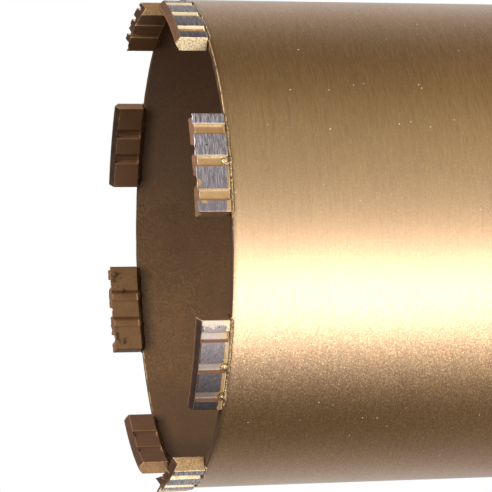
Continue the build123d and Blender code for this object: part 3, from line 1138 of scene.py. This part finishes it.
# %% Values of the segments
USUAL = {
    "floors": (0.87, 0.87),  # lacquer on the outside, which shows in the grooves
    "walls": 0.17,  # painted light on one wall of each groove, and painted shade on the other
    "inner": 0.5,  # on the inner face
    "ends": 0.9,
    "crown": 0.35,
    "edges": 0.35,  # painted highlight along edges, ridge and inner groove mouths; below 0, painted shade
    "shiny side": 0,  # side of an inner groove's mouth that gets the painted highlight: 1, -1, or 0 for both
    "tone": (0.8, 0.8),  # how bright it was ground, and painted light and shade graded from end to end
    "strip": (0.6, 0.2),  # how high above its foot the wheel stopped
    "worn": 0,
    "patches": [],  # lacquer left on the lands
    "grime": [],  # dark smudges on the inner face
}
OWN = {
    1: {"inner": 0.65, "ends": 0.71},
    2: {"inner": 0.57, "ends": 0.55, "crown": 0.05, "edges": 0.22, "shiny side": 1},
    3: {"inner": 0.7, "ends": 0.5, "edges": -0.25,
        "grime": [(-0.8, 0.8, 2.6, 1.3), (-0.5, 0.5, 1.4, 0.9),
                  (0.7, 0.85, 2.4, 0.8), (0.85, 0.6, 1.0, 1.2)]},
    4: {"inner": 0.46, "ends": 0.7, "crown": 0.2, "edges": 0.3, "shiny side": -1},
    5: {"floors": (0.95, 0.95), "walls": 0.0, "ends": 0.8, "tone": (1.2, 1.3), "strip": (0.0, 0.0)},
    6: {"floors": (0.72, 0.94), "walls": 0.4, "ends": 0.4, "crown": 0.05, "edges": 0.6,
        "tone": (0.25, 0.5), "strip": (1.1, 0.8), "worn": 0.9, "patches": [(1.0, 0.5, 1.6, 9.0)]},
    7: {"floors": (0.82, 0.73), "ends": 0.5, "crown": 0.42, "tone": (0.55, 1.35), "strip": (1.0, -0.4),
        "patches": [(-0.44, 0.93, 0.9, 0.9), (-0.80, 0.80, 0.5, 0.6)]},
    8: {"floors": (0.85, 0.85), "ends": 0.99, "tone": (0.75, 1.05), "strip": (0.2, 0.0),
        "patches": [(0.5, 0.05, 1.5, 0.8)]},
}
print("segments with values of their own:", *OWN)

# %% Marks of a segment
AT_INSIDE = block_points[:, 1] <= 0
AT_END = (block_points[:, 0] <= 0) | (block_points[:, 0] >= ALONG[-1])
AT_CROWN = block_points[:, 2] >= TALL
FULL_COVER = 0.9  # an edge with this much lacquer gets no painted highlight
END_SPARKLE, SPARKLE = 0.25, 0.08
PATCH_WORN, PATCH_FROM = 0.7, 0.4  # how worn a patch is, and where it starts


def spots(place, places):
    """Mask of round spots on a segment: 1 in the middle of each, half of that at its border."""
    found = np.zeros(len(place))
    for along_share, up_share, wide, tall in places:
        off_along = (place[:, 0] - along_share * HALF_ARC) / wide
        off_upright = (place[:, 2] - up_share * TALL) / tall
        found = np.maximum(found, np.clip(1 - 0.5 * np.hypot(off_along, off_upright), 0, 1))
    return found


def graded(start, end):
    """A value that changes evenly from one end of a segment to the other."""
    return start + (end - start) * block_points[:, 0] / ALONG[-1]


def segment_marks(place, marks, own):
    """All the marks of one segment, from those of its shape and from its own values."""
    # Painted light on one wall of each groove and painted shade on the other, by the walls value.
    cover = graded(*own["floors"]) + own["walls"] * marks["wall"]
    cover[AT_INSIDE] = own["inner"]
    cover[AT_END] = own["ends"]
    cover[AT_CROWN] = own["crown"]
    # Painted highlight, or with a negative value painted shade, along edges, ridge and inner groove
    # mouths.
    cover += own["edges"] * marks["shine"] * (cover < FULL_COVER)
    patch = spots(place, own["patches"])
    worn_patch = PATCH_WORN * (patch > PATCH_FROM) * marks["land"]
    return marks | {
        "cover": cover,
        "sparkle": np.where(AT_END, END_SPARKLE, SPARKLE),
        "worn": own["worn"] * np.maximum(marks["floor"], worn_patch),
        "tone": graded(*own["tone"]),
        "strip": graded(*own["strip"]),
        "patch": patch,
        "grime": spots(place, own["grime"]) * AT_INSIDE,
    }


print("points on an end:", int(AT_END.sum()), "and on a crown:", int(AT_CROWN.sum()))

# %% Segments
SEGMENT_SEED = 100
for order in range(SEGMENT_COUNT):
    name = f"segment_{order + 1}"
    own = USUAL | OWN.get(order + 1, {})
    chance = random.Random(SEGMENT_SEED + order)
    place, edge, marks = segment_points(order % 2 == 1, own["shiny side"], chance)
    mesh = bpy.data.meshes.new(name + "_grit")
    mesh.from_pydata(bent(roughen(place, edge, order), order) * MM, [], block_faces)
    store(mesh, segment_marks(place, marks, own))
    tidy(mesh)
    to_object(name + "_grit", mesh, [segment_finish], name, crease=35)
print("segments made, faces each", len(block_faces))

# %% [markdown]
# ## Braze under the segments
# Silver solder runs along both sides of each segment's foot. It is never even: it swells into
# drops, pulls back into the gap, and takes the gold lacquer with a high shine. Its colour is
# brightest along each bead's crest, a painted highlight, and darkened at its toes and all along
# the inner bead, a painted shade; noise adds runs and grains of burnt flux. Each joint is a bead
# on the outside and a bead on the inside, with the thin layer between them, as one closed outline
# that changes from station to station along the rim.

# %% Braze material
SOLDER_BRIGHT = colour(0.88, 0.66, 0.38)
SOLDER_DULL = colour(0.30, 0.19, 0.08)
FLUX_AND_SHADE = colour(0.16, 0.10, 0.05)

braze, tree, shader, position = new_material(
    "lacquered braze", Metallic=1.0, Coat_Weight=0.35, Coat_Roughness=0.15,
)
flakes = flakes_in(tree, position, flake=0.25, tilt=0.2)
grains = clouds(tree, position, size=0.6, low=-0.3, high=0.3)
runs = clouds(tree, position, size=3.0, low=-0.2, high=0.3)
# Painted shade at the bead's toes and on the inner bead, a painted highlight at its crest, and burnt
# flux from noise.
flux_shade_amount = sums(tree, "ADD", mask(tree, "seam"), sums(tree, "ADD", grains, runs))
solder = mix(tree, span(tree, flux_shade_amount, 0.15, 0.4), SOLDER_BRIGHT, SOLDER_DULL)
plug(tree, mix(tree, span(tree, flux_shade_amount, 0.6, 0.95), solder, FLUX_AND_SHADE), shader["Base Color"])
plug(tree, span(tree, flux_shade_amount, 0.0, 1.0, 0.24, 0.5), shader["Roughness"])
lumps = clouds(tree, position, size=0.4, low=0.0, high=1.0)
relief(tree, shader, Height=lumps, Distance=0.14 * MM, Strength=0.7, Normal=flakes["Normal"])
print("material:", braze.name)

# %% Outline of a joint
BEAD_STATIONS = 220
BEAD_STEPS = 11
TOE = 0.25  # thin skirt of flux on the barrel, as a share of the outline
CREST = 0.5  # where the painted highlight is, with the least painted shade
TOE_SUNK, LAP = 0.05, 0.02  # how far the outline's two ends run into the metal behind them
FULLNESS = 0.7  # a lower power makes a fuller bead
FACE_SWELL, FALL = 0.03, 0.6  # towards the segment, and downwards for each part outwards


def bead_outline(leg, cover, swell, side):
    """One side of the joint's outline, from the barrel's wall up to under the segment's face."""
    wall = BARREL_OUTSIDE if side > 0 else BARREL_INSIDE
    low = np.array([wall - side * TOE_SUNK, RIM - leg])
    high = np.array([wall + side * cover, FOOT + LAP])
    outline = []
    for step in np.linspace(0, 1, BEAD_STEPS):
        bulge = swell * math.sin(math.pi * max(0.0, (step - TOE) / (1 - TOE))) ** FULLNESS
        bulge += FACE_SWELL * step
        outline.append(low + (high - low) * step + np.array([side * bulge, -bulge * FALL]))
    return outline


print("joint outline has", 2 * BEAD_STEPS, "points")

# %% Joint along the rim
JOINT_SEED = 500
RUN_OUT = 0.5  # past each end of the segment
TAPER = 9  # how suddenly the bead ends
DROP_SPREAD = 0.8  # half length of a drop, for each part of its size
# Sizes in millimetres of the plain bead, and what a full wave and a drop add to them.
LEG = (0.62, 0.65, 0.3)  # down the barrel's wall
COVER, MOST_COVER = (0.30, 0.4, 0.3), 0.74  # under the segment's overhang
SWELL = (0.09, 0.10, 0.12)  # of its face
# Drops of solder on each side: angle share from -1 to 1 along the segment, and size.
DROPS = {7: [(0.03, 1.0), (-0.35, 0.5), (-0.95, 0.6)], 6: [(-0.06, 0.9), (-0.3, 0.5), (-0.72, 0.7)]}
INNER_DROPS = {3: [(-0.335, 0.7), (0.335, 0.7)]}


def some_drops(chance, count, largest):
    """Drops at random places along a joint."""
    return [(chance.uniform(-0.9, 0.9), chance.uniform(0.4, largest)) for _ in range(count)]


def sized(sizes, wave, drop):
    """A size of the bead where its wave and its drop have these heights."""
    plain, waved, dropped = sizes
    return plain + waved * wave + dropped * drop


def joint_points(order):
    """Stations of one brazed joint along the rim."""
    chance = random.Random(JOINT_SEED + order)
    half = HALF_SPAN + RUN_OUT / CUT_OUTSIDE
    outer_drops = DROPS.get(order + 1) or some_drops(chance, 3, 1.0)
    inner_drops = INNER_DROPS.get(order + 1) or some_drops(chance, 2, 0.9)
    stations = []
    for share in np.linspace(-1, 1, BEAD_STATIONS):
        angle = share * half
        ends = min(1.0, TAPER * (1.0 - abs(share)) + 0.05) ** 0.5
        outline = []
        for side, drops in ((1, outer_drops), (-1, inner_drops)):
            spot = Vector((angle * CUT_OUTSIDE, side * 20.0, order * 50.0))
            wave = 0.5 + 0.4 * noise.noise(spot * SLOW_WAVER) + 0.2 * noise.noise(spot * FAST_WAVER)
            drop = 0.0
            for at, size in drops:
                off = (share - at) * half * CUT_OUTSIDE / (DROP_SPREAD * size)
                drop += size * math.exp(-off**4)
            leg = sized(LEG, wave, drop) * ends
            cover = min(MOST_COVER, sized(COVER, wave, drop)) * ends
            row = bead_outline(leg, cover, sized(SWELL, wave, drop) * ends, side)
            outline += row if side > 0 else row[::-1]
        outline = np.array(outline)
        outline[:, 0] = np.clip(outline[:, 0], CUT_INSIDE, CUT_OUTSIDE)
        stations.append([polar(r, order * SEGMENT_STEP + angle, z) for r, z in outline])
    return np.array(stations)


print("a joint has", BEAD_STATIONS, "stations")

# %% Drops in the grooves
# Larger drops that ran into the lower end of a groove: angle share, size along, size upright.
GROOVE_DROPS = {7: [(0.0, 1.1, 1.2)], 6: [(-0.02, 0.9, 1.1), (-0.70, 0.8, 0.9)]}
DROP_ROWS, DROP_COLUMNS = 13, 20
DROP_LUMPS, DROP_WAVES = 0.18, 1.7
DROP_RISE, DROP_HALF = 0.15, 0.55  # its middle above the groove's floor, and half its thickness
DROP_LIFT = 0.3  # its middle above the segment's foot


def groove_drop(order, along_share, along, upright):
    """Rows of points of one drop of solder in the lower end of a groove."""
    rows = []
    floor_radius = CUT_OUTSIDE - GROOVE_DEPTH
    for tilt in np.linspace(0, math.pi, DROP_ROWS):
        row = []
        for turn in np.linspace(0, 2 * math.pi, DROP_COLUMNS, endpoint=False):
            spot = Vector(polar(math.sin(tilt), turn, math.cos(tilt)))
            size = 1 + DROP_LUMPS * noise.noise(spot * DROP_WAVES + Vector((order * 9.0, 0, 0)))
            angle = order * SEGMENT_STEP + along_share * HALF_SPAN
            angle += spot.x * size * along / CUT_OUTSIDE
            radius = min(CUT_OUTSIDE, floor_radius + DROP_RISE + spot.y * size * DROP_HALF)
            row.append(polar(radius, angle, FOOT + DROP_LIFT + spot.z * size * upright))
        rows.append(row)
    return np.array(rows)


print("drops in grooves:", sum(len(drops) for drops in GROOVE_DROPS.values()))

# %% Brazed joints
INNER_SHADE, DROP_SOOT = 0.35, 0.2  # painted shade on the inner bead, and burnt flux on a drop
# The seam mark is 0 at the crest, a painted highlight, and rises to 1 at the toes, a painted shade.
from_crest = np.abs(np.linspace(0, 1, BEAD_STEPS) - CREST) / CREST
seam = np.tile(np.concatenate([from_crest, INNER_SHADE + from_crest[::-1]]), BEAD_STATIONS)
drop_seam = np.full(DROP_ROWS * DROP_COLUMNS, DROP_SOOT)
for order in range(SEGMENT_COUNT):
    name = f"solder_{order + 1}"
    mesh = skin(name + "_bead", joint_points(order), caps=True, masks={"seam": seam})
    to_object(name + "_bead", mesh, [braze], name, crease=60)
    for number, drop in enumerate(GROOVE_DROPS.get(order + 1, [])):
        label = f"{name}_drop_{number + 1}"
        mesh = skin(label, groove_drop(order, *drop), masks={"seam": drop_seam})
        to_object(label, mesh, [braze], name, crease=60)
print("joints made, faces each", len(mesh.polygons))

# %% [markdown]
# ## Back plate
# A turned steel disc closes the heel of the barrel. It is a plain outline carried round, with
# its edges just broken and one edge cut back for the weld, under the same sprayed lacquer.

# %% Back plate piece
BREAK = 0.2
CUT_BACK = PLATE_EDGE - RING_INSIDE
WELD_REACH = HUB_OUTSIDE + 6
outline = [
    (PLATE_HOLE, PLATE_LOW), (WELD_REACH, PLATE_LOW), (RING_INSIDE - BREAK, PLATE_LOW),
    (RING_INSIDE, PLATE_LOW + 0.05), (PLATE_EDGE, PLATE_LOW + CUT_BACK),
    (PLATE_EDGE, PLATE_TOP - BREAK), (PLATE_EDGE - BREAK, PLATE_TOP), (WELD_REACH, PLATE_TOP),
    (PLATE_HOLE + BREAK, PLATE_TOP), (PLATE_HOLE, PLATE_TOP - BREAK),
]
mesh = skin("plate_disc", turned(outline, 240), along=True)
to_object("plate_disc", mesh, [sprayed], "back_plate")
print("plate", len(mesh.polygons), "faces")

# %% [markdown]
# ## Welds at the heel
# Two welds hold the hub end together: a fillet in the corner between hub and plate, and a
# ring at the plate's edge that was dressed nearly flush. A welder lays a bead as a row of
# overlapping crescents. So both beads are an outline carried round in small steps, pushed in
# and out once per crescent, with the crescents bowed by letting the outline's middle lag.

# %% Weld beads
WELD_ROWS = 15
WELD_LAG, WELD_UNEVEN = 1.4, 0.8  # radians of one crescent
WELD_ROUGH = 0.12  # share of the ripple


def weld_points(low, high, bulge, ripple, steps, sides):
    """Rows of a ring of weld whose face bows outward between two corners of its outline."""
    low, high = np.array(low), np.array(high)
    chord = high - low
    outward = np.array([chord[1], -chord[0]]) / np.linalg.norm(chord)
    rows = []
    for share in np.linspace(0, 1, WELD_ROWS):
        crest = math.sin(math.pi * share)
        ring = []
        for number in range(sides):
            angle = number * 2 * math.pi / sides
            spot = Vector(polar(1, angle, share * 0.2)) * 6
            phase = angle * steps + WELD_LAG * crest + WELD_UNEVEN * noise.noise(spot)
            push = bulge * crest + ripple * crest ** 0.5 * (abs(math.sin(phase / 2)) - 0.5)
            push += WELD_ROUGH * ripple * noise.noise(spot * 5)
            radius, height = low + chord * share + outward * push
            ring.append(polar(radius, angle, height))
        rows.append(ring)
    return rows


def ring_at(radius, height, sides):
    """One circle of points."""
    return turned([(radius, height)], sides)[0].tolist()


print("weld helpers are ready")

# %% Weld between hub and plate
BEAD_SIDES, BEAD_CRESCENTS = 540, 62
BEAD_BULGE, BEAD_RIPPLE = 0.9, 0.35
BEAD_TOE = 0.3  # how far the bead runs into the hub
corners = (BEAD_INSIDE, BEAD_LOW), (BEAD_OUTSIDE, BEAD_TOP - LAP)
rows = weld_points(*corners, BEAD_BULGE, BEAD_RIPPLE, BEAD_CRESCENTS, BEAD_SIDES)
rows.append(ring_at(BEAD_INSIDE - BEAD_TOE, BEAD_TOP - LAP, BEAD_SIDES))
mesh = skin("hub_bead", np.array(rows), along=True)
to_object("hub_bead", mesh, [sprayed], "hub_weld", crease=70)
print("hub bead", len(mesh.polygons), "faces")

# %% Weld between plate and barrel
RING_SIDES, RING_CRESCENTS = 720, 120
RING_BULGE, RING_RIPPLE = 0.12, 0.16
corners = (RING_INSIDE + LAP, RING_LOW), (RING_OUTSIDE, RING_LOW)
rows = weld_points(*corners, RING_BULGE, RING_RIPPLE, RING_CRESCENTS, RING_SIDES)
rows.append(ring_at(RING_OUTSIDE, RING_TOP, RING_SIDES))
rows.append(ring_at(PLATE_EDGE, RING_TOP, RING_SIDES))
mesh = skin("plate_bead", np.array(rows), along=True)
to_object("plate_bead", mesh, [sprayed], "plate_weld", crease=70)
print("plate bead", len(mesh.polygons), "faces")

# %% [markdown]
# ## Hub
# The hub is turned from round bar, with two flats for a wrench, and tapped right through for
# the drill's spindle. A real thread is a helix, and a render shows at once when it is only
# rings. So the rows of its skin climb by one pitch in a turn: each row follows one line of the
# thread's profile, and the rows that would pass an end face are stopped at it.

# %% Hub sizes
HUB_BREAK = 1.2
FLAT_HALF = 20.5
FLAT_LOW, FLAT_HIGH = HUB_FACE + 9, HUB_FACE + 27
SPIGOT = PLATE_HOLE - 0.05
THREAD_PITCH = 25.4 / 7
THREAD_OUTSIDE = 31.75 / 2
THREAD_TALL = THREAD_OUTSIDE - HUB_BORE
THREAD_FLANK = math.tan(math.radians(30))  # half of the 60 degree profile
THREAD_ROOT = THREAD_PITCH / 16  # half the width of the flat at the bottom
FLAT_CORNER = math.asin(FLAT_HALF / HUB_OUTSIDE)

hub_angles = set(np.linspace(0, 2 * math.pi, 144, endpoint=False).round(6))
for corner in (FLAT_CORNER, math.pi - FLAT_CORNER, math.pi + FLAT_CORNER, 2 * math.pi - FLAT_CORNER):
    hub_angles.add(round(corner, 6))
hub_angles = np.array(sorted(hub_angles))
print("a ring of the hub has", len(hub_angles), "points")


# %% Thread
def thread_radius(angle, height):
    """Radius of the tapped hole: a 60 degree thread with flat roots and crests."""
    turn = height / THREAD_PITCH - angle / (2 * math.pi)
    off_root = abs(turn - round(turn)) * THREAD_PITCH
    depth = (off_root - THREAD_ROOT) / THREAD_FLANK
    mouth = THREAD_OUTSIDE - (height - HUB_FACE)
    return max(THREAD_OUTSIDE - min(max(depth, 0), THREAD_TALL), mouth)


flank = THREAD_TALL * THREAD_FLANK
profile = [-THREAD_ROOT, *(THREAD_ROOT + flank * third / 3 for third in range(4))]
profile += [THREAD_PITCH - offset for offset in reversed(profile[2:])]
turns = int((HUB_TOP - HUB_FACE) / THREAD_PITCH) + 3
thread_rows = []
for turn in range(-1, turns):
    for offset in profile:
        row = []
        for angle in hub_angles:
            height = HUB_FACE + (turn + angle / (2 * math.pi)) * THREAD_PITCH + offset
            height = min(max(height, HUB_FACE), HUB_TOP)
            row.append(polar(thread_radius(angle, height), angle, height))
        thread_rows.append(row)
print("thread has", turns, "turns of", len(profile), "rows")


# %% Hub skin
def hub_ring(radius, height, flats=False):
    """A ring of the hub's skin, cut back to the two wrench flats where they run."""
    radii = np.full(len(hub_angles), float(radius))
    if flats:
        radii = np.minimum(radii, FLAT_HALF / np.maximum(np.abs(np.sin(hub_angles)), 1e-6))
    return [polar(r, angle, height) for r, angle in zip(radii, hub_angles)]


def quads_between(rows, columns, first, climb):
    """Quads over rows of points; at the seam, a row joins the one that is climb rows further on."""
    quads = []
    for row in range(rows - 1):
        for column in range(columns):
            seam = column + 1 == columns
            lift = climb if seam else 0
            if row + 1 + lift >= rows:
                continue
            after = 0 if seam else column + 1
            here, above = first + row * columns, first + (row + 1) * columns
            quads.append((here + column, here + lift * columns + after,
                          above + lift * columns + after, above + column))
    return quads


# From the top of the bore round the outside to the mouth of the thread.
outer_rows = [
    [polar(thread_radius(angle, HUB_TOP), angle, HUB_TOP) for angle in hub_angles],
    hub_ring(SPIGOT - BREAK, HUB_TOP),
    hub_ring(SPIGOT, HUB_TOP - BREAK),
    hub_ring(SPIGOT, HEEL),
    hub_ring(HUB_OUTSIDE, HEEL),
    hub_ring(HUB_OUTSIDE, FLAT_HIGH),
    hub_ring(HUB_OUTSIDE, FLAT_HIGH, flats=True),
    hub_ring(HUB_OUTSIDE, FLAT_LOW, flats=True),
    hub_ring(HUB_OUTSIDE, FLAT_LOW),
    hub_ring(HUB_OUTSIDE, HUB_FACE + HUB_BREAK),
    hub_ring(HUB_OUTSIDE - HUB_BREAK, HUB_FACE),
    hub_ring(THREAD_OUTSIDE, HUB_FACE),
]
columns = len(hub_angles)
points = np.array(thread_rows + outer_rows, float)
faces = quads_between(len(thread_rows), columns, 0, len(profile))
faces += quads_between(len(outer_rows), columns, len(thread_rows) * columns, 0)
mesh = bpy.data.meshes.new("threaded_hub")
mesh.from_pydata(points.reshape(-1, 3) * MM, [], faces)
tidy(mesh)
print("hub skin", len(mesh.polygons), "faces")

# %% [markdown]
# ## Machined steel
# The hub's end face and its thread stay bare, because lacquer there would spoil the fit on the
# spindle. A turning tool leaves fine rings on the face, so the noise is read by radius alone:
# that draws rings of uneven brightness for little work. Old oil darkens the steel in clouds.

# %% Machined steel
STEEL_DARK = colour(0.36, 0.35, 0.34)
STEEL = colour(0.56, 0.55, 0.53)
OIL = colour(0.20, 0.16, 0.11)
TURNING_MARKS = 9.0  # for each millimetre of radius

machined, tree, shader, position = new_material("machined steel", Metallic=1.0)
radius = use_group(tree, places, Position=position)["Radius"]
across = {"W": sums(tree, "MULTIPLY", radius, TURNING_MARKS), "Scale": 1.0, "Detail": 3.0}
rings = add(tree, "TexNoise", across, noise_dimensions="1D").outputs[0]
oil = clouds(tree, position, size=6.0, low=0.0, high=1.0)
steel = mix(tree, rings, STEEL_DARK, STEEL)
plug(tree, mix(tree, sums(tree, "MULTIPLY", oil, 0.5), steel, OIL), shader["Base Color"])
plug(tree, sums(tree, "MULTIPLY_ADD", oil, 0.15, 0.28), shader["Roughness"])
relief(tree, shader, Height=rings, Distance=0.01 * MM, Strength=0.6)
print("material:", machined.name)

# %% Hub piece
for face in mesh.polygons:
    middle = Vector(face.center) / MM
    on_face = middle.z < HUB_FACE + 0.01
    threaded = math.hypot(middle.x, middle.y) < THREAD_OUTSIDE + 0.01
    face.material_index = 1 if on_face or threaded else 0
to_object("threaded_hub", mesh, [sprayed, machined], "hub", crease=28)
print("hub", len(mesh.polygons), "faces")
